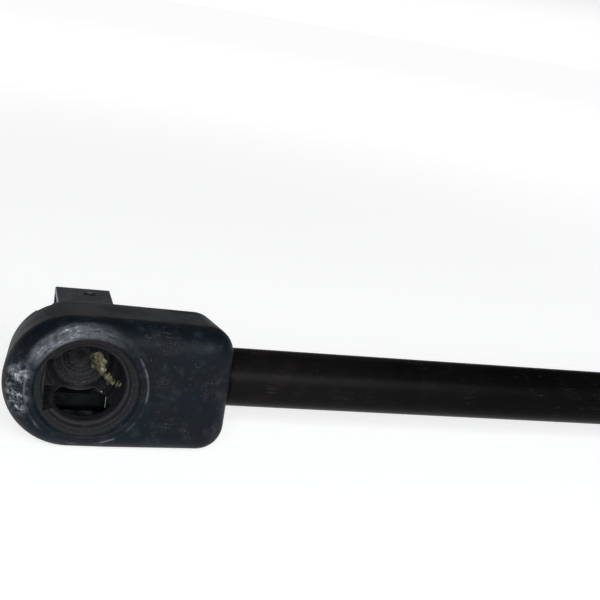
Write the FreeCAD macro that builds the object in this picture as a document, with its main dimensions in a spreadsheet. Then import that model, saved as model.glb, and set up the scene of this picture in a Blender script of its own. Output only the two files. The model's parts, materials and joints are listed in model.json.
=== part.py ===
"""Gas strut stay: gas spring 8/18 with a plastic 10 mm ball socket and a pull-out clip at each end.

Millimetres, +Z up. The strut lies along X with the ball centre of the tube end at the origin and
the rod towards -X. Both sockets open towards -Y. The strut is drawn fully extended, as the gas
holds it, and both safety clips are drawn pulled out, so that a ball stud can enter or leave.
"""
import FreeCAD, Part
import math
import os

import Sketcher

DIMENSIONS = {
    # whole strut
    "extended_length": 420.0,   # between the two ball centres
    "tube_gap": 0.9,            # between the tube and its socket on the axis; the drafted face narrows it
    "running_fit": 0.05,        # radial room of the rod in the guide and of the ball in a socket
    "overshoot": 1.0,           # how far a cutter runs past the face that it opens
    "snug_fit": 0.02,           # radial room between pieces that don't move on each other
    # pressure tube
    "tube_length": 215.0,
    "tube_radius": 9.0,
    "tube_wall": 1.0,
    "tube_lip_radius": 6.2,     # hole left by the rolled-in ends
    "bead_depth": 0.6,
    "bead_width": 1.4,          # half of it on the mouth side, then a flat, then the long flank
    "bead_flat": 0.4,
    "bead_flank": 1.0,
    "tube_edge": 0.6,           # softened edges of the rolled-in ends
    "bead_from_mouth": 13.3,
    # rod and piston
    "rod_radius": 4.0,
    "rod_thread_radius": 2.95,
    "rod_tip_bevel": 0.5,
    "rod_shoulder_bevel": 0.25,
    "rod_tip_room": 0.5,        # between the rod's tip and the end of its thread hole
    "rod_tail_radius": 2.5,
    "rivet_radius": 3.4,
    "rivet_height": 1.1,
    "piston_from_mouth": 16.5,
    "stop_washer_thickness": 1.2,
    "stop_washer_radius": 6.5,
    "piston_thickness": 5.5,
    "piston_radius": 7.6,
    "piston_groove_radius": 6.2,
    "piston_ring_width": 2.3,
    "piston_ring_room": 0.1,
    "valve_disc_thickness": 0.8,
    "valve_disc_radius": 5.5,
    "rivet_washer_thickness": 1.2,
    "rivet_washer_radius": 4.6,
    # guide and seal at the mouth of the tube
    "wiper_width": 2.0,
    "wiper_radius": 6.0,
    "guide_length": 7.0,
    "liner_wall": 0.45,
    "seal_width": 3.0,
    "support_width": 2.0,
    "ring_section_radius": 0.62,
    # base plug
    "plug_length": 7.0,
    "stud_radius": 3.95,
    "stud_length": 11.0,
    "stud_bevel": 0.8,
    # ball socket housing
    "ball_radius": 5.0,
    "housing_half_width": 8.3,    # at the height of the strut's axis
    "housing_end_half_width": 8.0,
    "housing_straight": 3.0,    # from the ball centre to where the sides begin to taper
    "nose_offset": 1.6,         # from the ball centre to the centre of the round nose
    "draft_angle": 5.0,         # the sides lean in towards the back
    "housing_front": 8.0,       # ball centre to the open face
    "housing_back": 6.4,        # ball centre to the back face
    "housing_end": 18.2,        # ball centre to the face that meets the rod or tube
    "corner_radius": 3.5,
    "edge_radius": 3.2,
    "back_edge_radius": 3.4,
    "mouth_radius": 6.8,        # lead-in at the open face
    "lip_depth": 2.2,           # lead-in, from the open face to the lip
    "lip_width": 1.4,           # the lip that guides the ball in
    "lip_relief": 0.35,         # the bore behind the lip is this much wider
    "mouth_edge_radius": 0.4,
    "relief_reach": 5.15,       # square relief on the nose side of the bore
    "relief_half_width": 3.45,
    "relief_front": 0.6,        # where the relief begins, behind the open face
    "relief_floor": 2.0,
    "recess_half_length": 6.4,  # recess in the back for the clip's bridge
    "recess_floor": 3.0,
    "dome_radius": 6.2,
    "window_half_length": 3.82,  # windows from the clip's channels into the bore
    "window_inner": 3.8,
    "window_front": 4.2,
    "channel_outer": 7.45,
    "collar_radius": 4.35,      # counterbore that takes the rod's full diameter
    "collar_depth": 3.0,
    "rod_thread_start": 7.0,
    "stud_thread_start": 8.5,
    # safety clip
    "clip_half_width": 3.7,
    "clip_thickness": 0.9,
    "clip_half_span": 7.35,     # outside of a leg from the middle
    "clip_half_gap": 4.5,       # between the turned-in tips and the middle
    "clip_tip": 2.2,            # end face of the pulled-out clip, from the ball centre
    "clip_proud": 7.1,          # bridge above the back face when pulled out
    "clip_bend": 1.6,           # outside radius of the bends beside the bridge
    "clip_tip_bend": 1.2,       # outside radius of the bends at the turned-in tips
    "dimple_height": 9.7,
    "dimple_offset": 0.8,       # from the middle of the leg, towards the strut
    "dimple_radius": 1.1,
    "dimple_depth": 0.5,
    "bump_base_radius": 1.0,    # the dimple's bump on the inside of the leg
    "bump_top_radius": 0.5,
}

DRAWING_TOLERANCE = 0.01

document = FreeCAD.newDocument("gas_strut_stay")
sheet = document.addObject("Spreadsheet::Sheet", "sizes")
for row, (alias, number) in enumerate(DIMENSIONS.items(), start=1):
    sheet.set(f"A{row}", alias)
    sheet.set(f"B{row}", str(number))
    sheet.setAlias(f"B{row}", alias)
document.recompute()


class Size:
    """A length that knows both its number and the sheet expression that drives it."""

    def __init__(self, number, text):
        self.number = number
        self.text = text

    def __add__(self, other):
        other = as_size(other)
        return Size(self.number + other.number, f"({self.text} + {other.text})")

    def __sub__(self, other):
        other = as_size(other)
        return Size(self.number - other.number, f"({self.text} - {other.text})")

    def __rsub__(self, other):
        return as_size(other) - self

    def __mul__(self, factor):
        return Size(self.number * factor, f"({self.text} * {factor})")

    def __neg__(self):
        return Size(-self.number, f"(-1 * {self.text})")


def as_size(value):
    """A Size from a Size or from a plain number."""
    if isinstance(value, Size):
        return value
    return Size(float(value), str(value))


class Sizes:
    """The sheet's cells as attributes: size.tube_radius and so on."""

    def __getattr__(self, alias):
        return Size(DIMENSIONS[alias], f"sizes.{alias}")


size = Sizes()
ZERO = as_size(0)


def drive(thing, prop, value):
    """Set a property of an object and bind it to its expression."""
    value = as_size(value)
    if "." not in prop:
        setattr(thing, prop, value.number)
    thing.setExpression(prop, value.text)


def place(thing, x=ZERO, y=ZERO, z=ZERO, rotation=None):
    """Give an object its Placement, with the position bound to the sheet."""
    x, y, z = as_size(x), as_size(y), as_size(z)
    base = FreeCAD.Vector(x.number, y.number, z.number)
    thing.Placement = FreeCAD.Placement(base, rotation or FreeCAD.Rotation())
    for axis, value in (("x", x), ("y", y), ("z", z)):
        thing.setExpression(f"Placement.Base.{axis}", value.text)


# ---- sketches and bodies ----

def sketch_on(body, plane, name):
    """A sketch on one of the body's own origin planes."""
    sketch = body.newObject("Sketcher::SketchObject", name)
    planes = [part for part in body.Origin.OriginFeatures if part.Role == plane]
    sketch.AttachmentSupport = [(planes[0], "")]
    sketch.MapMode = "FlatFace"
    return sketch


def hold(sketch, kind, element, end, value):
    """Hold one end of an element at its distance from a sketch axis."""
    value = as_size(value)
    if abs(value.number) < DRAWING_TOLERANCE:
        axis = -2 if kind == "DistanceX" else -1
        sketch.addConstraint(Sketcher.Constraint("PointOnObject", element, end, axis))
        return
    index = sketch.addConstraint(Sketcher.Constraint(kind, element, end, value.number))
    sketch.setExpression(f"Constraints[{index}]", value.text)


def draw_path(sketch, points, closed=True):
    """Straight lines through the points, each point held at its distances from the axes."""
    first = sketch.GeometryCount
    vectors = [FreeCAD.Vector(as_size(u).number, as_size(v).number, 0) for u, v in points]
    lines = len(points) if closed else len(points) - 1
    for index in range(lines):
        following = vectors[(index + 1) % len(points)]
        sketch.addGeometry(Part.LineSegment(vectors[index], following), False)
    for index in range(lines if closed else lines - 1):
        following = first + (index + 1) % lines
        sketch.addConstraint(Sketcher.Constraint("Coincident", first + index, 2, following, 1))
    for index, (u, v) in enumerate(points):
        element, end = (first + index, 1) if index < lines else (first + lines - 1, 2)
        hold(sketch, "DistanceX", element, end, u)
        hold(sketch, "DistanceY", element, end, v)
    return first, first + lines - 1


def turned(name, outline):
    """A piece turned about the strut's axis from its outline of (x, radius) points."""
    body = document.addObject("PartDesign::Body", name)
    sketch = sketch_on(body, "XY_Plane", f"{name}_outline")
    draw_path(sketch, outline)
    revolution = body.newObject("PartDesign::Revolution", f"{name}_turned")
    revolution.Profile = sketch
    revolution.ReferenceAxis = (sketch, ["H_Axis"])
    revolution.Angle = 360.0
    document.recompute()
    return body


def edges_where(shape, wanted):
    """Names of the edges whose middle point passes a test."""
    names = []
    for number, edge in enumerate(shape.Edges, start=1):
        middle = edge.valueAt((edge.FirstParameter + edge.LastParameter) / 2)
        if wanted(edge, middle):
            names.append(f"Edge{number}")
    return names


def fillet(body, name, wanted, radius):
    """Round the edges of the body's tip that pass a test."""
    document.recompute()
    tip = body.Tip
    feature = body.newObject("PartDesign::Fillet", name)
    feature.Base = (tip, edges_where(tip.Shape, wanted))
    drive(feature, "Radius", radius)
    document.recompute()
    return feature


def close(value, target):
    """True for two lengths that are the same on the drawing."""
    return abs(value - target) < DRAWING_TOLERANCE


# ---- ball socket housing, drawn with the ball centre at its origin and its strut side at +X ----

def box(name, low, high):
    """A box between two corners given as sizes."""
    piece = document.addObject("Part::Box", name)
    for prop, start, end in zip(("Length", "Width", "Height"), low, high):
        drive(piece, prop, as_size(end) - start)
    place(piece, *low)
    return piece


def bore_along_x(name, radius, start, end):
    """A round cutter along the strut's axis."""
    piece = document.addObject("Part::Cylinder", name)
    drive(piece, "Radius", radius)
    drive(piece, "Height", as_size(end) - start)
    place(piece, x=start, rotation=FreeCAD.Rotation(FreeCAD.Vector(0, 1, 0), 90))
    return piece


def housing_blank(prefix):
    """The moulded block with its rounded nose, rounded edges and the bore for the ball."""
    body = document.addObject("PartDesign::Body", f"{prefix}_blank")
    plan = sketch_on(body, "XZ_Plane", f"{prefix}_plan")
    sides = [
        (-size.nose_offset, size.housing_half_width),
        (size.housing_straight, size.housing_half_width),
        (size.housing_end, size.housing_end_half_width),
        (size.housing_end, -size.housing_end_half_width),
        (size.housing_straight, -size.housing_half_width),
        (-size.nose_offset, -size.housing_half_width),
    ]
    first, last = draw_path(plan, sides, closed=False)
    nose_centre = FreeCAD.Vector(-size.nose_offset.number, 0, 0)
    nose = Part.ArcOfCircle(
        Part.Circle(nose_centre, FreeCAD.Vector(0, 0, 1), size.housing_half_width.number),
        math.pi / 2, 3 * math.pi / 2)
    arc = plan.addGeometry(nose, False)
    hold(plan, "DistanceX", arc, 3, -size.nose_offset)
    plan.addConstraint(Sketcher.Constraint("Coincident", arc, 1, first, 1))
    plan.addConstraint(Sketcher.Constraint("Coincident", arc, 2, last, 2))
    pad = body.newObject("PartDesign::Pad", f"{prefix}_pad")
    pad.Profile = plan
    pad.SideType = "Two sides"
    drive(pad, "Length", size.housing_front)
    drive(pad, "Length2", size.housing_back)
    drive(pad, "TaperAngle", size.draft_angle)
    drive(pad, "TaperAngle2", -size.draft_angle)
    end = size.housing_end.number
    front = -size.housing_front.number
    back = size.housing_back.number
    half = size.housing_end_half_width.number

    def at_corner(edge, middle):
        runs_back = not close(edge.Vertexes[0].Y, edge.Vertexes[-1].Y)
        return runs_back and middle.x > end / 2 and abs(middle.z) > half / 2

    fillet(body, f"{prefix}_corners", at_corner, size.corner_radius)
    fillet(body, f"{prefix}_front_edges", lambda edge, middle: close(middle.y, front), size.edge_radius)
    fillet(body, f"{prefix}_back_edges", lambda edge, middle: close(middle.y, back), size.back_edge_radius)

    bore = size.ball_radius + size.running_fit
    lip_end = size.lip_depth + size.lip_width - size.housing_front
    section = sketch_on(body, "XY_Plane", f"{prefix}_socket_section")
    walls = [
        (ZERO, bore),
        (ZERO, -size.housing_front - size.overshoot),
        (size.mouth_radius, -size.housing_front - size.overshoot),
        (size.mouth_radius, -size.housing_front),
        (bore, size.lip_depth - size.housing_front),
        (bore, lip_end),
        (bore + size.lip_relief, lip_end + size.lip_relief),
        (bore, ZERO),
    ]
    first, last = draw_path(section, walls, closed=False)
    ceiling = Part.ArcOfCircle(
        Part.Circle(FreeCAD.Vector(0, 0, 0), FreeCAD.Vector(0, 0, 1), bore.number), 0, math.pi / 2)
    arc = section.addGeometry(ceiling, False)
    section.addConstraint(Sketcher.Constraint("Coincident", arc, 3, -1, 1))
    section.addConstraint(Sketcher.Constraint("Coincident", arc, 2, first, 1))
    section.addConstraint(Sketcher.Constraint("PointOnObject", arc, 1, -1))
    groove = body.newObject("PartDesign::Groove", f"{prefix}_socket")
    groove.Profile = section
    groove.ReferenceAxis = (section, ["V_Axis"])
    groove.Angle = 360.0

    def at_mouth(edge, middle):
        distance = math.hypot(middle.x, middle.z)
        widest = size.mouth_radius.number + DRAWING_TOLERANCE
        return bore.number + size.lip_relief.number < distance < widest and middle.y < lip_end.number

    fillet(body, f"{prefix}_mouth_edge", at_mouth, size.mouth_edge_radius)
    return body


def recess_cutter(prefix):
    """The recess in the back, with the dome over the ball left standing in it."""
    top = size.housing_back + size.overshoot
    block = box(f"{prefix}_recess",
                (-size.recess_half_length, size.recess_floor, -size.channel_outer),
                (size.recess_half_length, top, size.channel_outer))
    dome = document.addObject("Part::Sphere", f"{prefix}_dome")
    drive(dome, "Radius", size.dome_radius)
    cutter = document.addObject("Part::Cut", f"{prefix}_recess_cutter")
    cutter.Base = block
    cutter.Tool = dome
    return cutter


def socket_housing(name, thread_radius, thread_start, collar):
    """A whole housing: the blank less the clip's recess, channels and windows and the thread."""
    cutters = [recess_cutter(name)]
    for side, sign in (("upper", 1), ("lower", -1)):
        near, far = size.window_inner * sign, size.channel_outer * sign
        low, high = (near, far) if sign > 0 else (far, near)
        cutters.append(box(f"{name}_{side}_window",
                           (-size.window_half_length, -size.window_front, low),
                           (size.window_half_length, size.recess_floor + size.overshoot, high)))
    cutters.append(box(f"{name}_relief",
                       (-size.relief_reach, size.relief_front - size.housing_front, -size.relief_half_width),
                       (-size.relief_half_width, size.relief_floor, size.relief_half_width)))
    face = size.housing_end + size.overshoot
    cutters.append(bore_along_x(f"{name}_thread", thread_radius, thread_start, face))
    if collar:
        cutters.append(bore_along_x(f"{name}_collar", size.collar_radius,
                                    size.housing_end - size.collar_depth, face))
    tools = document.addObject("Part::MultiFuse", f"{name}_cutters")
    tools.Shapes = cutters
    housing = document.addObject("Part::Cut", name)
    housing.Base = housing_blank(name)
    housing.Tool = tools
    document.recompute()
    return housing


# ---- safety clip, in the same frame as its housing ----

def socket_clip(name):
    """A U of spring strip with turned-in tips and a pressed dimple on each leg."""
    top = size.housing_back + size.clip_proud
    inner = size.clip_half_span - size.clip_thickness
    body = document.addObject("PartDesign::Body", f"{name}_strip")
    profile = sketch_on(body, "YZ_Plane", f"{name}_profile")
    draw_path(profile, [
        (size.clip_tip, size.clip_half_gap),
        (size.clip_tip, size.clip_half_span),
        (top, size.clip_half_span),
        (top, -size.clip_half_span),
        (size.clip_tip, -size.clip_half_span),
        (size.clip_tip, -size.clip_half_gap),
        (size.clip_tip + size.clip_thickness, -size.clip_half_gap),
        (size.clip_tip + size.clip_thickness, -inner),
        (top - size.clip_thickness, -inner),
        (top - size.clip_thickness, inner),
        (size.clip_tip + size.clip_thickness, inner),
        (size.clip_tip + size.clip_thickness, size.clip_half_gap),
    ])
    pad = body.newObject("PartDesign::Pad", f"{name}_pad")
    pad.Profile = profile
    pad.SideType = "Symmetric"
    drive(pad, "Length", size.clip_half_width * 2)

    span, inside = size.clip_half_span.number, inner.number
    low, high = size.clip_tip.number, top.number
    wall = size.clip_thickness.number

    def bends(y, z):
        return lambda edge, middle: close(middle.x, 0) and close(middle.y, y) and close(abs(middle.z), z)

    fillet(body, f"{name}_outer_bends", bends(high, span), size.clip_bend)
    fillet(body, f"{name}_inner_bends", bends(high - wall, inside), size.clip_bend - size.clip_thickness)
    fillet(body, f"{name}_outer_tips", bends(low, span), size.clip_tip_bend)
    fillet(body, f"{name}_inner_tips", bends(low + wall, inside), size.clip_tip_bend - size.clip_thickness)

    dishes, bumps = [], []
    for side, sign in (("upper", 1), ("lower", -1)):
        dish = document.addObject("Part::Sphere", f"{name}_{side}_dish")
        drive(dish, "Radius", size.dimple_radius)
        lift = size.clip_half_span + size.dimple_radius - size.dimple_depth
        place(dish, x=size.dimple_offset, y=size.dimple_height, z=lift * sign)
        dishes.append(dish)
        bump = document.addObject("Part::Cone", f"{name}_{side}_bump")
        drive(bump, "Radius1", size.bump_base_radius)
        drive(bump, "Radius2", size.bump_top_radius)
        drive(bump, "Height", size.dimple_depth)
        turn = FreeCAD.Rotation(FreeCAD.Vector(1, 0, 0), 180 if sign > 0 else 0)
        place(bump, x=size.dimple_offset, y=size.dimple_height, z=inner * sign, rotation=turn)
        bumps.append(bump)
    raised = document.addObject("Part::MultiFuse", f"{name}_raised")
    raised.Shapes = [body] + bumps
    tools = document.addObject("Part::MultiFuse", f"{name}_dishes")
    tools.Shapes = dishes
    clip = document.addObject("Part::Cut", name)
    clip.Base = raised
    clip.Tool = tools
    document.recompute()
    return clip


# ---- stations along the strut ----

base_face = -size.housing_end - size.tube_gap                 # closed end of the tube
mouth = base_face - size.tube_length                          # open end of the tube
rod_ball = -size.extended_length                              # ball centre of the rod end
tube_bore = size.tube_radius - size.tube_wall
inside_fit = tube_bore - size.snug_fit
rod_fit = size.rod_radius + size.running_fit
plug_face = base_face - size.tube_wall
guide_start = mouth + size.tube_wall
guide_end = guide_start + size.guide_length
seal_end = guide_end + size.seal_width
piston_start = mouth + size.piston_from_mouth
piston_face = piston_start + size.stop_washer_thickness
piston_end = piston_face + size.piston_thickness
valve_end = piston_end + size.valve_disc_thickness
tail_end = valve_end + size.rivet_washer_thickness
ring_start = piston_face + (size.piston_thickness - size.piston_ring_width) * 0.5


def pressure_tube():
    """Drawn tube: both ends rolled in, and a rolled bead that holds the guide and seal."""
    outer, lip = size.tube_radius, size.tube_lip_radius
    bead = mouth + size.bead_from_mouth
    bead_half = size.bead_width * 0.5
    soft = size.tube_edge
    skin = [
        (mouth, lip),
        (mouth, outer - soft),
        (mouth + soft, outer),
        (bead - bead_half, outer),
        (bead, outer - size.bead_depth),
        (bead + size.bead_flat, outer - size.bead_depth),
        (bead + size.bead_flat + size.bead_flank, outer),
        (base_face - soft, outer),
        (base_face, outer - soft),
        (base_face, lip),
    ]
    bore = [
        (base_face - size.tube_wall, lip),
        (base_face - size.tube_wall, tube_bore),
        (bead + size.bead_flat + size.bead_flank, tube_bore),
        (bead + size.bead_flat, tube_bore - size.bead_depth),
        (bead, tube_bore - size.bead_depth),
        (bead - bead_half, tube_bore),
        (mouth + size.tube_wall, tube_bore),
        (mouth + size.tube_wall, lip),
    ]
    return turned("pressure_tube", skin + bore)


def ring_groove(middle):
    """Outline points of an outer groove for a round-section ring, in order of rising x."""
    floor = inside_fit - size.ring_section_radius * 2
    half = size.ring_section_radius + size.running_fit
    return [
        (middle - half, inside_fit),
        (middle - half, floor),
        (middle + half, floor),
        (middle + half, inside_fit),
    ]


def round_ring(name, middle):
    """A round-section rubber ring around the strut's axis."""
    ring = document.addObject("Part::Torus", name)
    drive(ring, "Radius1", inside_fit - size.ring_section_radius)
    drive(ring, "Radius2", size.ring_section_radius)
    place(ring, x=middle, rotation=FreeCAD.Rotation(FreeCAD.Vector(0, 1, 0), 90))
    return ring


def base_plug():
    """Plug in the closed end, with its ring groove, boss and threaded stud."""
    inner_face = plug_face - size.plug_length
    stud_end = plug_face + size.stud_length
    bevel = size.stud_bevel
    boss = size.tube_lip_radius - size.snug_fit
    outline = [(inner_face, ZERO), (inner_face, inside_fit)]
    outline += ring_groove(plug_face - size.plug_length * 0.5)
    outline += [
        (plug_face, inside_fit),
        (plug_face, boss),
        (base_face, boss),
        (base_face, size.stud_radius),
        (stud_end - bevel, size.stud_radius),
        (stud_end, size.stud_radius - bevel),
        (stud_end, ZERO),
    ]
    return turned("base_plug", outline)


def guide_pack():
    """Wiper, guide bush with its liner and ring, rod seal and the ring that backs the seal."""
    liner = rod_fit + size.liner_wall
    wiper_end = guide_start + size.wiper_width
    ring_at = guide_end - size.ring_section_radius * 3
    lip = size.wiper_width * 0.4
    bush = [
        (guide_start, size.wiper_radius),
        (guide_start, inside_fit),
    ] + ring_groove(ring_at) + [
        (guide_end, inside_fit),
        (guide_end, liner),
        (wiper_end, liner),
        (wiper_end, size.wiper_radius),
    ]
    wiper = [
        (guide_start, size.wiper_radius - size.snug_fit),
        (wiper_end, size.wiper_radius - size.snug_fit),
        (wiper_end, rod_fit + lip),
        (guide_start + lip, rod_fit),
        (guide_start, rod_fit),
    ]
    seal = [
        (guide_end, rod_fit + size.snug_fit),
        (guide_end, inside_fit),
        (seal_end, inside_fit),
        (seal_end, inside_fit - lip),
        (seal_end - lip, inside_fit - lip * 2),
        (seal_end - lip, rod_fit + lip),
        (seal_end, rod_fit + size.snug_fit),
    ]
    support_end = seal_end + size.support_width
    support = [
        (seal_end, rod_fit + size.liner_wall),
        (seal_end, inside_fit),
        (support_end - size.liner_wall, inside_fit),
        (support_end, inside_fit - size.bead_depth),
        (support_end, rod_fit + size.liner_wall),
    ]
    lining = [(wiper_end, rod_fit), (wiper_end, liner), (guide_end, liner), (guide_end, rod_fit)]
    return [
        turned("wiper_ring", wiper),
        turned("guide_bush", bush),
        turned("guide_liner", lining),
        round_ring("guide_o_ring", ring_at),
        turned("rod_seal", seal),
        turned("seal_support_ring", support),
    ]


def piston_rod():
    """Rod: threaded tip, ground shank, reduced tail and the peened head behind the piston."""
    thread_tip = rod_ball + size.rod_thread_start + size.rod_tip_room
    shoulder = rod_ball + size.housing_end - size.collar_depth
    bevel = size.rod_tip_bevel
    edge = size.rod_shoulder_bevel
    outline = [
        (thread_tip, ZERO),
        (thread_tip, size.rod_thread_radius - bevel),
        (thread_tip + bevel, size.rod_thread_radius),
        (shoulder, size.rod_thread_radius),
        (shoulder, size.rod_radius - edge),
        (shoulder + edge, size.rod_radius),
        (piston_start, size.rod_radius),
        (piston_start, size.rod_tail_radius),
        (tail_end, size.rod_tail_radius),
        (tail_end, size.rivet_radius),
        (tail_end + size.rivet_height * 0.5, size.rivet_radius),
        (tail_end + size.rivet_height, size.rivet_radius - size.rivet_height * 0.5),
        (tail_end + size.rivet_height, ZERO),
    ]
    return turned("piston_rod", outline)


def washer(name, start, end, radius):
    """A flat ring on the rod's tail."""
    tail = size.rod_tail_radius + size.snug_fit
    return turned(name, [(start, tail), (start, radius), (end, radius), (end, tail)])


def piston_pack():
    """What sits on the rod's tail: stop washer, piston, valve disc and rivet washer."""
    tail = size.rod_tail_radius + size.snug_fit
    groove_start = ring_start - size.piston_ring_room
    groove_end = ring_start + size.piston_ring_width + size.piston_ring_room
    piston = [
        (piston_face, tail),
        (piston_face, size.piston_radius),
        (groove_start, size.piston_radius),
        (groove_start, size.piston_groove_radius),
        (groove_end, size.piston_groove_radius),
        (groove_end, size.piston_radius),
        (piston_end, size.piston_radius),
        (piston_end, tail),
    ]
    return [
        washer("stop_washer", piston_start, piston_face, size.stop_washer_radius),
        turned("piston", piston),
        washer("valve_disc", piston_end, valve_end, size.valve_disc_radius),
        washer("rivet_washer", valve_end, tail_end, size.rivet_washer_radius),
    ]


def piston_ring():
    """The sliding ring that seals the piston in the tube."""
    inner = size.piston_groove_radius + size.piston_ring_room
    outer = tube_bore - size.running_fit
    end = ring_start + size.piston_ring_width
    return turned("piston_ring", [(ring_start, inner), (ring_start, outer), (end, outer), (end, inner)])


pieces = [
    pressure_tube(),
    base_plug(),
    round_ring("base_o_ring", plug_face - size.plug_length * 0.5),
    piston_rod(),
    piston_ring(),
]
pieces += guide_pack()
pieces += piston_pack()

rod_thread_bore = size.rod_thread_radius + size.running_fit
stud_thread_bore = size.stud_radius + size.running_fit
turned_round = FreeCAD.Rotation(FreeCAD.Vector(0, 1, 0), 180)

rod_housing = socket_housing("rod_socket_housing", rod_thread_bore, size.rod_thread_start, collar=True)
rod_clip = socket_clip("rod_socket_clip")
tube_housing = socket_housing("tube_socket_housing", stud_thread_bore, size.stud_thread_start, collar=False)
tube_clip = socket_clip("tube_socket_clip")
for piece in (rod_housing, rod_clip):
    place(piece, x=rod_ball)
for piece in (tube_housing, tube_clip):
    place(piece, rotation=turned_round)
pieces += [rod_housing, rod_clip, tube_housing, tube_clip]
document.recompute()

# ---- check and write ----

for thing in document.Objects:
    if "Invalid" in thing.State or "Error" in thing.State:
        raise RuntimeError(f"{thing.Name} did not build")
os.makedirs("parts", exist_ok=True)
for piece in pieces:
    if piece.Shape.isNull() or not piece.Shape.isValid():
        raise RuntimeError(f"{piece.Label} has no valid shape")
    piece.Shape.exportStep(os.path.join("parts", f"{piece.Label}.step"))
    print(f"{piece.Label}: {piece.Shape.Volume:.1f} mm3, {len(piece.Shape.Solids)} solid")
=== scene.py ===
"""Looks of the gas strut stay: materials, grease, floor, studio light and camera around the CAD model.

Metres, in the CAD frame: the strut lies along X with its rod end towards -X, and both ball sockets open
towards -Y. Each material recipe measures its patterns in millimetres from a reference point on the part.
"""

import json
import math

import bmesh
import bpy
from mathutils import Matrix, Vector, noise
from mathutils.bvhtree import BVHTree


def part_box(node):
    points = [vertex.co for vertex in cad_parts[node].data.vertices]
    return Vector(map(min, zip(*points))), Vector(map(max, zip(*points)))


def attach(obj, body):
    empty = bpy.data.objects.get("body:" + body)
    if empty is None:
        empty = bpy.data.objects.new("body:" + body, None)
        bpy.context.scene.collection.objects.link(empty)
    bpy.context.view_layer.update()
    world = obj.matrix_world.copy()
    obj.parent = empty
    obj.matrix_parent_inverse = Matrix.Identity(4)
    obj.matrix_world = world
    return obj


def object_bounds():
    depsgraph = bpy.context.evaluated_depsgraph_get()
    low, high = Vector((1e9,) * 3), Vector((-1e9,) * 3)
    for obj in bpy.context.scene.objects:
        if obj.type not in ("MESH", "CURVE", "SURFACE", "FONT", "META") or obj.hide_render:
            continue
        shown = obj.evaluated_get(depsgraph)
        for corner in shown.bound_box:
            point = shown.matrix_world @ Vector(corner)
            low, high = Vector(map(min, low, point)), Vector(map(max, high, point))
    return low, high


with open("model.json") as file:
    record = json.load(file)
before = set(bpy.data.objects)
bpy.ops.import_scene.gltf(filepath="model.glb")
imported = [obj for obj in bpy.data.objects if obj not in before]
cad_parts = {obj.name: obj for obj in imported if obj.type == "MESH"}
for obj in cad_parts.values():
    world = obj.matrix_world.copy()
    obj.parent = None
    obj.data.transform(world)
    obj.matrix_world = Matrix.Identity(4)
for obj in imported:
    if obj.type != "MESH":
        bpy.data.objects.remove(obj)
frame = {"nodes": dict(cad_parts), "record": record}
CAD_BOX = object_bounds()
MM = 0.001


def mount_at(name):
    """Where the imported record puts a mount."""
    found = [mount for mount in frame["record"]["mounts"] if mount["name"] == name]
    return Vector(found[0]["pos_m"])


ROD_BALL = mount_at("rod_ball_centre")
TUBE_BALL = mount_at("tube_ball_centre")


def reach(node, origin):
    """A node's box in millimetres, measured from a point."""
    low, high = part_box(node)
    return (low - origin) / MM, (high - origin) / MM


HOUSING_LOW, HOUSING_HIGH = reach("rod_socket_housing", ROD_BALL)
FACE = HOUSING_LOW.y            # the open face of a housing, from its ball centre
MOUTH = 6.8                     # radius of the lead-in at the open face


def tone(red, green, blue):
    """A linear colour from the 0-255 values that a screen shows."""
    linear = []
    for value in (red, green, blue):
        share = value / 255
        linear.append(share / 12.92 if share <= 0.04045 else ((share + 0.055) / 1.055) ** 2.4)
    return (*linear, 1.0)


# ---- material recipes ----

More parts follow.
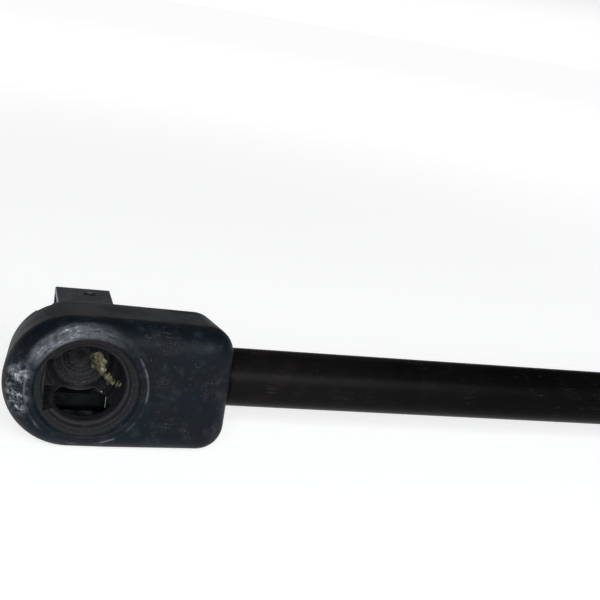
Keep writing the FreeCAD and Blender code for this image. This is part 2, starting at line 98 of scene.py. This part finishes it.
class Recipe:
    """A material built step by step. Its coordinates are millimetres from an origin."""

    def __init__(self, name, origin=Vector((0, 0, 0)), turned=False):
        self.material = bpy.data.materials.new(name)
        self.material.use_nodes = True
        self.tree = self.material.node_tree
        self.shader = self.tree.nodes["Principled BSDF"]
        place = self.tree.nodes.new("ShaderNodeTexCoord")
        side = -1 if turned else 1
        moved = self.vector("SUBTRACT", place.outputs["Object"], tuple(origin))
        self.at = self.vector("MULTIPLY", moved, (side / MM, 1 / MM, side / MM))
        split = self.tree.nodes.new("ShaderNodeSeparateXYZ")
        self.feed(split.inputs[0], self.at)
        self.x, self.y, self.z = split.outputs
        self.relief = None

    def feed(self, socket, value):
        """Link a socket to another node's output, or set its value."""
        if isinstance(value, bpy.types.NodeSocket):
            self.tree.links.new(value, socket)
        else:
            socket.default_value = value

    def vector(self, operation, *values):
        node = self.tree.nodes.new("ShaderNodeVectorMath")
        node.operation = operation
        for socket, value in zip(node.inputs, values):
            self.feed(socket, value)
        return node.outputs["Value" if operation in ("DOT_PRODUCT", "LENGTH") else "Vector"]

    def math(self, operation, *values):
        node = self.tree.nodes.new("ShaderNodeMath")
        node.operation = operation
        for socket, value in zip(node.inputs, values):
            self.feed(socket, value)
        return node.outputs[0]

    def times(self, *values):
        result = values[0]
        for value in values[1:]:
            result = self.math("MULTIPLY", result, value)
        return result

    def plus(self, *values):
        result = values[0]
        for value in values[1:]:
            result = self.math("ADD", result, value)
        return result

    def combine(self, x, y, z):
        node = self.tree.nodes.new("ShaderNodeCombineXYZ")
        for socket, value in zip(node.inputs, (x, y, z)):
            self.feed(socket, value)
        return node.outputs[0]

    def stretched(self, x, y, z):
        """The coordinates with each axis scaled, so a pattern is drawn out along one of them."""
        return self.vector("MULTIPLY", self.at, (x, y, z))

    def step(self, value, start, end, low=0.0, high=1.0):
        """A smooth step from low at start to high at end. Start may be the larger one."""
        node = self.tree.nodes.new("ShaderNodeMapRange")
        node.interpolation_type = "SMOOTHSTEP"
        for name, number in (("Value", value), ("From Min", start), ("From Max", end)):
            self.feed(node.inputs[name], number)
        unit = node.outputs[0]
        if (low, high) == (0.0, 1.0):
            return unit
        return self.plus(self.times(unit, high - low), low)

    def band(self, value, start, end, soft):
        """1 between start and end, falling to 0 over a soft distance outside."""
        return self.times(self.step(value, start - soft, start), self.step(value, end + soft, end))

    def noise(self, scale, detail=3.0, where=None, roughness=0.55):
        """Cloudy noise around 0.5, with scale in cycles per millimetre."""
        node = self.tree.nodes.new("ShaderNodeTexNoise")
        self.feed(node.inputs["Vector"], where or self.at)
        for name, number in (("Scale", scale), ("Detail", detail), ("Roughness", roughness)):
            self.feed(node.inputs[name], number)
        return node.outputs[0]

    def cells(self, scale):
        """Distance to scattered points, with scale in points per millimetre."""
        node = self.tree.nodes.new("ShaderNodeTexVoronoi")
        self.feed(node.inputs["Vector"], self.at)
        self.feed(node.inputs["Scale"], scale)
        return node.outputs["Distance"]

    def specks(self, per_mm, size, share):
        """Small scattered spots: a share of the cells holds a spot of that size."""
        spots = self.step(self.cells(per_mm), size, size * 0.5)
        chosen = self.step(self.noise(per_mm * 0.45, 1.0), 1 - share, 1 - share + 0.05)
        return self.times(spots, chosen)

    def scratches(self, stretch, width, sparse=0.55):
        """Hair lines along the axis that is stretched least, broken up by a cloudy mask."""
        lines = self.noise(1.0, 2.0, self.stretched(*stretch))
        thin = self.step(self.math("ABSOLUTE", self.math("SUBTRACT", lines, 0.5)), width, 0.0)
        return self.times(thin, self.step(self.noise(0.35, 2.0), sparse, sparse + 0.12))

    def edges(self, radius_mm):
        """1 along convex and concave edges, from the difference to a rounded normal."""
        bevel = self.tree.nodes.new("ShaderNodeBevel")
        bevel.samples = 6
        self.feed(bevel.inputs["Radius"], radius_mm * MM)
        surface = self.tree.nodes.new("ShaderNodeNewGeometry")
        same = self.vector("DOT_PRODUCT", bevel.outputs[0], surface.outputs["Normal"])
        return self.step(same, 0.995, 0.93)

    def mix(self, factor, first, second):
        """Blend two colours."""
        node = self.tree.nodes.new("ShaderNodeMix")
        node.data_type = "RGBA"
        self.feed(node.inputs[0], factor)
        self.feed(node.inputs[6], first)
        self.feed(node.inputs[7], second)
        return node.outputs[2]

    def raise_by(self, height, depth_um):
        """Add a bump whose full height is a depth in micrometres."""
        node = self.tree.nodes.new("ShaderNodeBump")
        self.feed(node.inputs["Height"], height)
        node.inputs["Distance"].default_value = depth_um * 1e-6
        if self.relief is not None:
            self.feed(node.inputs["Normal"], self.relief)
        self.relief = node.outputs[0]

    def finish(self, colour, roughness, **even):
        """Join the colour, roughness and bumps to the shader. Even values are set on its sockets."""
        self.feed(self.shader.inputs["Base Color"], colour)
        self.feed(self.shader.inputs["Roughness"], roughness)
        if self.relief is not None:
            self.feed(self.shader.inputs["Normal"], self.relief)
        for name, value in even.items():
            self.shader.inputs[name.replace("_", " ")].default_value = value
        return self.material


def moulded_housing(name, ball, turned):
    """Black moulded plastic, dusty, pale from rubbing around the mouth with painted highlight on it, with
    a turned-looking ball seat.
    """
    recipe = Recipe(name, ball, turned)
    x, y, z = recipe.x, recipe.y, recipe.z
    around = recipe.math("SQRT", recipe.plus(recipe.times(x, x), recipe.times(z, z)))
    inside = recipe.times(recipe.step(around, MOUTH + 0.1, MOUTH - 0.4),
                          recipe.step(y, FACE + 0.2, FACE + 0.9))
    outside = recipe.math("SUBTRACT", 1.0, inside)

    clouds = recipe.noise(0.16, 3.0)
    # painted reflection: the blue in this black stands for cool light from above mirrored in the plastic;
    # its cloudy mix with the brown black is the plastic's own tone
    reflection_blue_black = tone(10, 20, 26)
    brown_black = tone(14, 17, 22)
    colour = recipe.mix(recipe.step(clouds, 0.38, 0.62), reflection_blue_black, brown_black)
    mottled = recipe.noise(1.1, 4.0, roughness=0.7)
    colour = recipe.mix(recipe.step(mottled, 0.35, 0.8, 0.0, 0.5), colour, tone(12, 14, 17))

    # dust that settled on the face and the shoulders
    dust = recipe.times(recipe.step(recipe.noise(0.5, 5.0, roughness=0.7), 0.5, 0.75), outside)
    settled = tone(80, 84, 90)
    colour = recipe.mix(recipe.times(dust, 0.16), colour, settled)

    # the shoulder above the mouth is pale from rubbing in streaks that follow the mouth; on its upper side
    # the paleness is also a painted highlight from light falling from above
    ring = recipe.vector("NORMALIZE", recipe.combine(x, 0.0, z))
    polar = recipe.vector("ADD", recipe.vector("MULTIPLY", ring, (3.2, 0.0, 3.2)),
                          recipe.combine(0.0, recipe.times(around, 2.2), 0.0))
    streaks = recipe.plus(recipe.step(recipe.noise(1.0, 5.0, polar, 0.7), 0.3, 0.66, 0.0, 0.65),
                          recipe.step(recipe.noise(1.4, 5.0, roughness=0.7), 0.35, 0.7, 0.0, 0.35))
    upper = recipe.step(z, 2.0, 5.5)
    left = recipe.step(x, 5.5, -3.0)
    shoulder = recipe.times(recipe.band(around, 7.1, 8.1, 0.7), upper, left, streaks)
    front = recipe.step(y, FACE + 2.2, FACE + 0.9)
    worn = recipe.times(shoulder, front, 0.85)
    nose = recipe.times(recipe.step(x, -6.6, -7.8), recipe.band(z, -2.6, 1.8, 2.0), front)
    worn = recipe.math("MAXIMUM", worn, recipe.times(nose, recipe.step(mottled, 0.42, 0.66), 0.75))
    # painted highlight: a thin broken pale line on the rounded edge just outside the mouth
    broken = recipe.step(recipe.noise(0.35, 3.0), 0.42, 0.62)
    highlight_ring = recipe.times(recipe.band(around, 7.55, 7.7, 0.12), outside, broken, 0.3)
    worn = recipe.math("MAXIMUM", worn, highlight_ring)
    # pale from rubbing, and on the upper shoulder and the thin line outside the mouth also a painted
    # highlight
    rubbed_and_lit = tone(118, 123, 129)
    polished = tone(176, 180, 184)
    colour = recipe.mix(worn, colour, rubbed_and_lit)
    # painted highlight: near-white spots where the wear is strongest
    patchy = recipe.step(recipe.noise(1.8, 4.0, roughness=0.7), 0.42, 0.62)
    highlight_peaks = recipe.times(recipe.step(worn, 0.45, 0.8), patchy)
    colour = recipe.mix(recipe.times(highlight_peaks, 0.8), colour, polished)

    specks = recipe.times(recipe.specks(2.6, 0.17, 0.36), outside)
    colour = recipe.mix(recipe.times(specks, 0.28), colour, tone(150, 153, 156))

    # the sharp edges of the mouth, windows and recess are polished lighter by use
    edges = recipe.times(recipe.edges(0.28), recipe.step(recipe.noise(0.9, 3.0), 0.3, 0.6))
    colour = recipe.mix(recipe.times(edges, 0.5), colour, tone(120, 120, 122))

    # the ball has drawn rings in the seat, and dust and old grease lie between them
    rings_at = recipe.combine(recipe.times(y, 2.4), recipe.times(around, 0.35), 0.0)
    depth_rings = recipe.noise(1.0, 4.0, rings_at, 0.65)
    drawn_dark = tone(20, 20, 22)
    drawn_light = tone(54, 53, 55)
    seat_tone = recipe.mix(recipe.step(depth_rings, 0.4, 0.65), drawn_dark, drawn_light)
    lint = recipe.step(recipe.noise(2.6, 4.0, roughness=0.75), 0.55, 0.75)
    deep = recipe.step(y, 0.5, 4.0, 0.3, 0.65)
    seat_tone = recipe.mix(recipe.times(lint, deep), seat_tone, tone(112, 111, 116))
    colour = recipe.mix(recipe.times(inside, 0.8), colour, seat_tone)

    hair = recipe.scratches((0.25, 1.0, 5.0), 0.012)
    fine_hair = recipe.scratches((4.0, 1.0, 0.5), 0.01, 0.5)
    marks = recipe.math("MAXIMUM", hair, recipe.times(fine_hair, 0.7))
    colour = recipe.mix(recipe.times(marks, outside, 0.3), colour, tone(110, 112, 116))

    roughness = recipe.plus(recipe.step(clouds, 0.3, 0.7, 0.44, 0.56), recipe.times(worn, 0.2))
    roughness = recipe.plus(roughness, recipe.times(inside, 0.06), recipe.times(marks, -0.12))
    recipe.raise_by(recipe.noise(4.5, 3.0, roughness=0.6), 9)
    recipe.raise_by(recipe.noise(0.45, 2.0), 26)
    recipe.raise_by(recipe.times(depth_rings, inside), 55)
    recipe.raise_by(recipe.times(marks, -1.0), 10)
    recipe.raise_by(specks, 12)
    return recipe.finish(colour, roughness, Specular_IOR_Level=0.075)


def black_rod():
    """Nitrided and ground rod: a close grain round it, faint lengthwise wear and a darker wiped band."""
    recipe = Recipe("black_rod_ground", ROD_BALL)
    x = recipe.x
    grain = recipe.noise(1.0, 3.0, recipe.stretched(9.0, 0.35, 0.35))
    clouds = recipe.noise(1.0, 3.0, recipe.stretched(0.07, 0.3, 0.3))
    colour = recipe.mix(recipe.step(clouds, 0.35, 0.65), tone(8, 8, 8), tone(5, 5, 6))
    # a paler dull layer left by handling near the socket, fading along the rod; it is partly a painted
    # highlight that dims away from the light
    film_and_sheen = recipe.times(recipe.step(x, 66.0, HOUSING_HIGH.x), recipe.step(clouds, 0.2, 0.6, 0.7, 1.0))
    colour = recipe.mix(film_and_sheen, colour, tone(17, 16, 16))
    reddish = recipe.times(recipe.step(x, 40.0, 20.0), recipe.step(recipe.noise(0.35, 2.0), 0.45, 0.7))
    colour = recipe.mix(recipe.times(reddish, 0.6), colour, tone(24, 18, 17))
    # painted shade: the rod is darkened just where it enters the housing
    painted_shade_at_housing = recipe.step(x, HOUSING_HIGH.x + 1.0, HOUSING_HIGH.x + 0.5)
    colour = recipe.mix(recipe.times(painted_shade_at_housing, 0.85), colour, tone(2, 2, 2))
    wiped = recipe.times(recipe.band(x, 43.5, 45.5, 1.6), recipe.step(grain, 0.3, 0.6))
    colour = recipe.mix(recipe.times(wiped, 0.35), colour, tone(4, 4, 5))
    lines = recipe.scratches((0.12, 3.4, 3.4), 0.012, 0.5)
    colour = recipe.mix(recipe.times(lines, 0.25), colour, tone(70, 68, 66))
    dust = recipe.times(recipe.specks(1.6, 0.16, 0.35), 0.35)
    colour = recipe.mix(dust, colour, tone(92, 90, 88))
    roughness = recipe.plus(recipe.step(grain, 0.3, 0.7, 0.30, 0.38), recipe.times(lines, 0.12))
    recipe.raise_by(grain, 1.2)
    recipe.raise_by(recipe.noise(0.12, 2.0), 5)
    return recipe.finish(colour, roughness, Specular_IOR_Level=0.028)


def painted_tube():
    """Black satin paint with orange peel, dust, scuffs along the tube and worn ends and bead."""
    low, high = reach("pressure_tube", Vector((0, 0, 0)))
    recipe = Recipe("tube_paint_satin")
    x = recipe.x
    clouds = recipe.noise(0.05, 3.0)
    colour = recipe.mix(recipe.step(clouds, 0.35, 0.65), tone(27, 28, 31), tone(34, 33, 35))
    dust = recipe.step(recipe.noise(1.0, 5.0, recipe.stretched(0.12, 0.5, 0.5), 0.7), 0.5, 0.75)
    colour = recipe.mix(recipe.times(dust, 0.25), colour, tone(88, 87, 86))
    long_marks = recipe.scratches((0.06, 2.6, 2.6), 0.012, 0.52)
    cross_marks = recipe.scratches((2.8, 0.25, 0.25), 0.008, 0.56)
    marks = recipe.math("MAXIMUM", long_marks, cross_marks)
    colour = recipe.mix(recipe.times(marks, 0.45), colour, tone(120, 120, 122))
    rod_side = recipe.step(x, low.x + 1.6, low.x + 0.3)
    plug_side = recipe.step(x, high.x - 1.6, high.x - 0.3)
    ends = recipe.math("MAXIMUM", plug_side, rod_side)
    chipped = recipe.step(recipe.noise(0.9, 4.0, roughness=0.7), 0.52, 0.62)
    edges = recipe.edges(0.5)
    bare = recipe.times(recipe.math("MAXIMUM", ends, edges), chipped)
    colour = recipe.mix(recipe.times(bare, 0.75), colour, tone(122, 120, 118))
    specks = recipe.specks(0.9, 0.16, 0.4)
    colour = recipe.mix(recipe.times(specks, 0.5), colour, tone(150, 150, 150))
    roughness = recipe.plus(recipe.step(clouds, 0.3, 0.7, 0.32, 0.42), recipe.times(marks, 0.15))
    recipe.raise_by(recipe.noise(0.75, 2.0), 14)
    recipe.raise_by(recipe.noise(5.0, 2.0), 3)
    recipe.raise_by(recipe.times(bare, -1.0), 30)
    return recipe.finish(colour, roughness, Specular_IOR_Level=0.5)


def spring_strip(name, ball, turned):
    """Blued spring strip: rolled grain, bright scratches, dark oxide patches and polished edges."""
    recipe = Recipe(name, ball, turned)
    clouds = recipe.noise(0.45, 4.0, roughness=0.65)
    colour = recipe.mix(recipe.step(clouds, 0.35, 0.65), (0.050, 0.064, 0.078, 1), (0.085, 0.10, 0.115, 1))
    oxide = recipe.step(recipe.noise(1.3, 4.0, roughness=0.7), 0.56, 0.68)
    colour = recipe.mix(recipe.times(oxide, 0.7), colour, (0.030, 0.032, 0.036, 1))
    # painted shade: the strip turns nearly black where it lies inside the housing, and its bright
    # scratches and edges are left out there
    housed_shade = recipe.step(recipe.y, 4.6, 3.4)
    colour = recipe.mix(recipe.times(housed_shade, 0.85), colour, (0.012, 0.012, 0.011, 1))
    rolled = recipe.noise(1.0, 3.0, recipe.stretched(0.5, 9.0, 9.0))
    long_marks = recipe.scratches((0.5, 6.0, 6.0), 0.014, 0.45)
    cross_marks = recipe.scratches((6.0, 0.8, 0.8), 0.012, 0.5)
    marks = recipe.math("MAXIMUM", long_marks, cross_marks)
    edges = recipe.times(recipe.edges(0.2), recipe.step(recipe.noise(1.2, 2.0), 0.3, 0.6))
    open_air = recipe.math("SUBTRACT", 1.0, housed_shade)
    bright = recipe.times(recipe.math("MAXIMUM", marks, edges), open_air)
    colour = recipe.mix(recipe.times(bright, 0.6), colour, (0.42, 0.44, 0.46, 1))
    roughness = recipe.plus(recipe.step(clouds, 0.3, 0.7, 0.36, 0.5), recipe.times(oxide, 0.15))
    recipe.raise_by(rolled, 3)
    recipe.raise_by(recipe.times(marks, -1.0), 12)
    recipe.raise_by(oxide, 8)
    return recipe.finish(colour, roughness, Metallic=1.0)


def turned_metal(name, light, dark, stain, roughness_range):
    """Lathe-turned metal: fine rings round the strut, stains, and bright nicks on the edges."""
    recipe = Recipe(name)
    clouds = recipe.noise(0.35, 4.0)
    colour = recipe.mix(recipe.step(clouds, 0.3, 0.7), light, dark)
    stained = recipe.step(recipe.noise(0.9, 4.0, roughness=0.7), 0.55, 0.72)
    colour = recipe.mix(recipe.times(stained, 0.5), colour, stain)
    edges = recipe.edges(0.15)
    colour = recipe.mix(recipe.times(edges, 0.4), colour, tone(225, 225, 225))
    rings = recipe.noise(1.0, 2.0, recipe.stretched(12.0, 0.4, 0.4))
    roughness = recipe.plus(recipe.step(rings, 0.3, 0.7, *roughness_range), recipe.times(stained, 0.1))
    recipe.raise_by(rings, 4)
    return recipe.finish(colour, roughness, Metallic=1.0)


def soft_ring(name, light, dark, speck, roughness_range):
    """Seal material: matt, cloudy, with oily patches, fine specks and a soft moulded skin."""
    recipe = Recipe(name)
    clouds = recipe.noise(0.5, 4.0)
    colour = recipe.mix(recipe.step(clouds, 0.35, 0.65), light, dark)
    colour = recipe.mix(recipe.times(recipe.specks(3.0, 0.2, 0.4), 0.5), colour, speck)
    edges = recipe.edges(0.15)
    colour = recipe.mix(recipe.times(edges, 0.3), colour, speck)
    oily = recipe.step(recipe.noise(0.8, 2.0), 0.5, 0.65)
    roughness = recipe.plus(recipe.step(clouds, 0.3, 0.7, *roughness_range), recipe.times(oily, -0.15))
    recipe.raise_by(recipe.noise(5.0, 3.0), 8)
    return recipe.finish(colour, roughness)


def old_grease():
    """Old grease: cream where it is thick, olive where it is thin, wet and dirty in places."""
    recipe = Recipe("old_grease", ROD_BALL)
    clouds = recipe.noise(1.1, 4.0, roughness=0.65)
    colour = recipe.mix(recipe.step(clouds, 0.42, 0.62), tone(56, 56, 27), tone(136, 132, 106))
    dirt = recipe.step(recipe.noise(2.2, 4.0, roughness=0.7), 0.52, 0.66)
    colour = recipe.mix(recipe.times(dirt, 0.75), colour, tone(32, 33, 22))
    roughness = recipe.step(clouds, 0.3, 0.7, 0.28, 0.5)
    recipe.raise_by(recipe.noise(2.5, 3.0), 40)
    recipe.raise_by(clouds, 60)
    return recipe.finish(colour, roughness, Coat_Weight=0.3, Coat_Roughness=0.25)


STEEL = (tone(168, 170, 172), tone(128, 131, 134), tone(96, 90, 82), (0.26, 0.40))
CAST = (tone(176, 176, 174), tone(140, 140, 139), tone(108, 104, 98), (0.36, 0.52))
BRASS = (tone(186, 158, 96), tone(146, 118, 68), tone(92, 70, 42), (0.26, 0.42))
NATURAL = (tone(205, 198, 182), tone(184, 176, 158), tone(112, 102, 84), (0.42, 0.58))
LINER = (tone(112, 92, 70), tone(90, 74, 58), tone(60, 50, 40), (0.45, 0.6))
RUBBER = (tone(26, 26, 27), tone(38, 38, 38), tone(92, 92, 90), (0.5, 0.68))

MATERIALS = {
    "rod_socket_housing": moulded_housing("rod_housing_moulded", ROD_BALL, turned=False),
    "tube_socket_housing": moulded_housing("tube_housing_moulded", TUBE_BALL, turned=True),
    "rod_socket_clip": spring_strip("rod_clip_blued", ROD_BALL, turned=False),
    "tube_socket_clip": spring_strip("tube_clip_blued", TUBE_BALL, turned=True),
    "piston_rod": black_rod(),
    "pressure_tube": painted_tube(),
}
steel = turned_metal("plated_steel_turned", *STEEL)
cast = turned_metal("piston_cast", *CAST)
brass = turned_metal("guide_brass_turned", *BRASS)
natural = soft_ring("natural_plastic", *NATURAL)
lining = soft_ring("filled_liner", *LINER)
rubber = soft_ring("black_rubber", *RUBBER)
for material, nodes in (
    (steel, ("base_plug", "stop_washer", "valve_disc", "rivet_washer")),
    (cast, ("piston",)),
    (brass, ("guide_bush",)),
    (natural, ("piston_ring", "seal_support_ring")),
    (lining, ("guide_liner",)),
    (rubber, ("base_o_ring", "guide_o_ring", "rod_seal", "wiper_ring")),
):
    for node in nodes:
        MATERIALS[node] = material

for node, piece in frame["nodes"].items():
    piece.data.materials.clear()
    piece.data.materials.append(MATERIALS[node])


# ---- grease in the ball seats ----

THICKNESS = 0.34                # of a dab, as a share of its radius
STAND_OFF = 0.12                # of a dab's centre from the wall, as a share of its radius
SKIN = 0.09 * MM                # grain of the melted skin


def socket_walls(housing):
    """The housing's surface, for finding where a direction from the ball centre meets it."""
    return BVHTree.FromObject(housing, bpy.context.evaluated_depsgraph_get())


def dab(mesh, centre, out, radius, seed):
    """One lumpy dab of grease: a flattened ball that leans on the wall behind it."""
    made = bmesh.ops.create_icosphere(mesh, subdivisions=4, radius=1.0)
    turn = out.to_track_quat("Z", "Y").to_matrix()
    for vertex in made["verts"]:
        unit = vertex.co.normalized()
        lump = 1 + 0.6 * noise.noise(unit * 1.6 + Vector((seed, 0, 0)))
        lump += 0.3 * noise.noise(unit * 4.2 + Vector((0, seed, 0)))
        shape = Vector((unit.x, unit.y, unit.z * THICKNESS)) * lump * radius
        vertex.co = centre + turn @ shape


def grease(name, housing, ball, body, turned, path, sizes):
    """A smear of dabs along a path of directions from the ball centre, melted into one skin."""
    walls = socket_walls(frame["nodes"][housing])
    side = -1 if turned else 1
    mesh = bmesh.new()
    for index, (direction, radius) in enumerate(zip(path, sizes)):
        out = Vector((direction[0] * side, direction[1], direction[2] * side)).normalized()
        where = walls.ray_cast(ball, out)[0]
        dab(mesh, where - out * radius * MM * STAND_OFF, out, radius * MM, index * 3.1 + side)
    data = bpy.data.meshes.new(name)
    mesh.to_mesh(data)
    mesh.free()
    piece = bpy.data.objects.new(name, data)
    bpy.context.scene.collection.objects.link(piece)
    melt = piece.modifiers.new("melt", "REMESH")
    melt.mode = "VOXEL"
    melt.voxel_size = SKIN
    soften = piece.modifiers.new("soften", "SMOOTH")
    soften.factor = 0.5
    soften.iterations = 4
    depsgraph = bpy.context.evaluated_depsgraph_get()
    melted = bpy.data.meshes.new_from_object(piece.evaluated_get(depsgraph))
    piece.modifiers.clear()
    piece.data = melted
    for face in melted.polygons:
        face.use_smooth = True
    melted.materials.clear()
    melted.materials.append(GREASE)
    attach(piece, body)


GREASE = old_grease()
grease("rod_socket_grease", "rod_socket_housing", ROD_BALL, "rod", False,
       path=[(1.9, 4.7, 0.1), (2.5, 4.4, 0.3), (3.0, 4.0, -0.4), (2.0, 4.5, -0.9), (2.7, 4.1, -1.2),
             (3.2, 3.5, -1.7), (3.6, 2.9, -2.0), (4.0, 2.0, -2.4), (4.3, 1.2, -2.2), (4.7, -0.4, -1.9),
             (4.8, -1.5, -1.5)],
       sizes=[0.6, 0.6, 0.55, 0.6, 0.8, 0.55, 0.55, 0.6, 0.45, 0.5, 0.36])
grease("tube_socket_grease", "tube_socket_housing", TUBE_BALL, "cylinder", True,
       path=[(-1.6, 4.6, 0.8), (-0.8, 4.9, 0.4), (0.4, 5.0, 0.2), (1.5, 4.7, 0.6), (2.6, 4.1, 1.4),
             (3.4, 3.2, 1.9)],
       sizes=[0.5, 0.75, 0.62, 0.7, 0.5, 0.4])


# ---- floor, light and camera ----

FLOOR_SIZE = 60.0               # half the width of the floor
FLOOR_GAP = 0.02 * MM           # between the floor and the lowest point of the strut
NEAR_GLOW = 0.72                # the floor glows this much beside the rod's socket
FAR_GLOW = 0.92                 # and this much far away, so that no horizon shows


def floor():
    """A plain, nearly white floor just under the strut's tube. It glows a little, like a light table."""
    mesh = bmesh.new()
    bmesh.ops.create_grid(mesh, x_segments=2, y_segments=2, size=FLOOR_SIZE)
    data = bpy.data.meshes.new("floor")
    mesh.to_mesh(data)
    mesh.free()
    piece = bpy.data.objects.new("floor", data)
    piece.location = (0, 0, CAD_BOX[0].z - FLOOR_GAP)
    bpy.context.scene.collection.objects.link(piece)
    recipe = Recipe("floor_pale")
    colour = recipe.mix(recipe.noise(0.002, 3.0), tone(190, 190, 190), tone(184, 184, 185))
    away = recipe.vector("LENGTH", recipe.vector("SUBTRACT", recipe.at, tuple(ROD_BALL / MM)))
    glow = recipe.step(away, 110.0, 650.0, NEAR_GLOW, FAR_GLOW)
    recipe.feed(recipe.shader.inputs["Emission Strength"], glow)
    recipe.finish(colour, 0.9, Specular_IOR_Level=0.05, Emission_Color=(1, 1, 1, 1))
    data.materials.append(recipe.material)


def softbox(name, centre, target, width, height, radiance, colour=(1, 1, 1)):
    """A soft rectangular light, set by how bright its face is."""
    light = bpy.data.lights.new(name, "AREA")
    light.shape = "RECTANGLE"
    light.size = width
    light.size_y = height
    light.energy = radiance * math.pi * width * height
    light.color = colour
    lamp = bpy.data.objects.new(name, light)
    lamp.location = centre
    lamp.rotation_mode = "QUATERNION"
    lamp.rotation_quaternion = (target - centre).to_track_quat("-Z", "Y")
    bpy.context.scene.collection.objects.link(lamp)


def surroundings():
    """White at the horizon and below, dim overhead, so that upward faces stay dark."""
    horizon = 0.03              # height of a direction, from 0 level to 1 straight up
    dim_above = 0.16
    world = bpy.data.worlds.new("studio")
    bpy.context.scene.world = world
    world.use_nodes = True
    tree = world.node_tree
    background = tree.nodes["Background"]
    place = tree.nodes.new("ShaderNodeTexCoord")
    split = tree.nodes.new("ShaderNodeSeparateXYZ")
    fade = tree.nodes.new("ShaderNodeMapRange")
    fade.interpolation_type = "SMOOTHSTEP"
    fade.inputs["From Min"].default_value = horizon
    fade.inputs["From Max"].default_value = dim_above
    blend = tree.nodes.new("ShaderNodeMix")
    blend.data_type = "RGBA"
    blend.inputs[6].default_value = (1.0, 1.0, 1.0, 1)
    blend.inputs[7].default_value = (0.07, 0.07, 0.075, 1)
    tree.links.new(place.outputs["Generated"], split.inputs[0])
    tree.links.new(split.outputs[2], fade.inputs["Value"])
    tree.links.new(fade.outputs[0], blend.inputs[0])
    tree.links.new(blend.outputs[2], background.inputs["Color"])


def camera():
    """Close to the rod end's socket, a little above it and rolled, as if held over a bench."""
    eye = ROD_BALL + Vector((-13.2, -130.1, 48.1)) * MM
    aim = ROD_BALL + Vector((28.1, 0.0, 11.7)) * MM
    roll = math.radians(9.4)
    data = bpy.data.cameras.new("camera")
    data.sensor_width = 36.0
    data.lens = 61.9            # millimetres
    data.clip_start = 0.005
    data.clip_end = 200.0
    piece = bpy.data.objects.new("camera", data)
    piece.rotation_mode = "QUATERNION"
    piece.location = eye
    level = (aim - eye).to_track_quat("-Z", "Y")
    piece.rotation_quaternion = level @ Matrix.Rotation(roll, 3, "Z").to_quaternion()
    bpy.context.scene.collection.objects.link(piece)
    bpy.context.scene.camera = piece


floor()
softbox("key_softbox", ROD_BALL + Vector((0.0, -0.80, 0.36)), ROD_BALL, 0.85, 0.42, 9.0,
        colour=(0.96, 0.985, 1.0))
softbox("far_softbox", Vector((0.25, -0.9, 0.7)), Vector((0.0, 0, 0)), 0.6, 0.4, 0.8)
softbox("back_softbox", Vector((-0.2, 1.3, 0.9)), Vector((-0.2, 0, 0)), 1.2, 0.4, 0.4)
surroundings()
camera()
bpy.context.scene.view_settings.view_transform = "Standard"
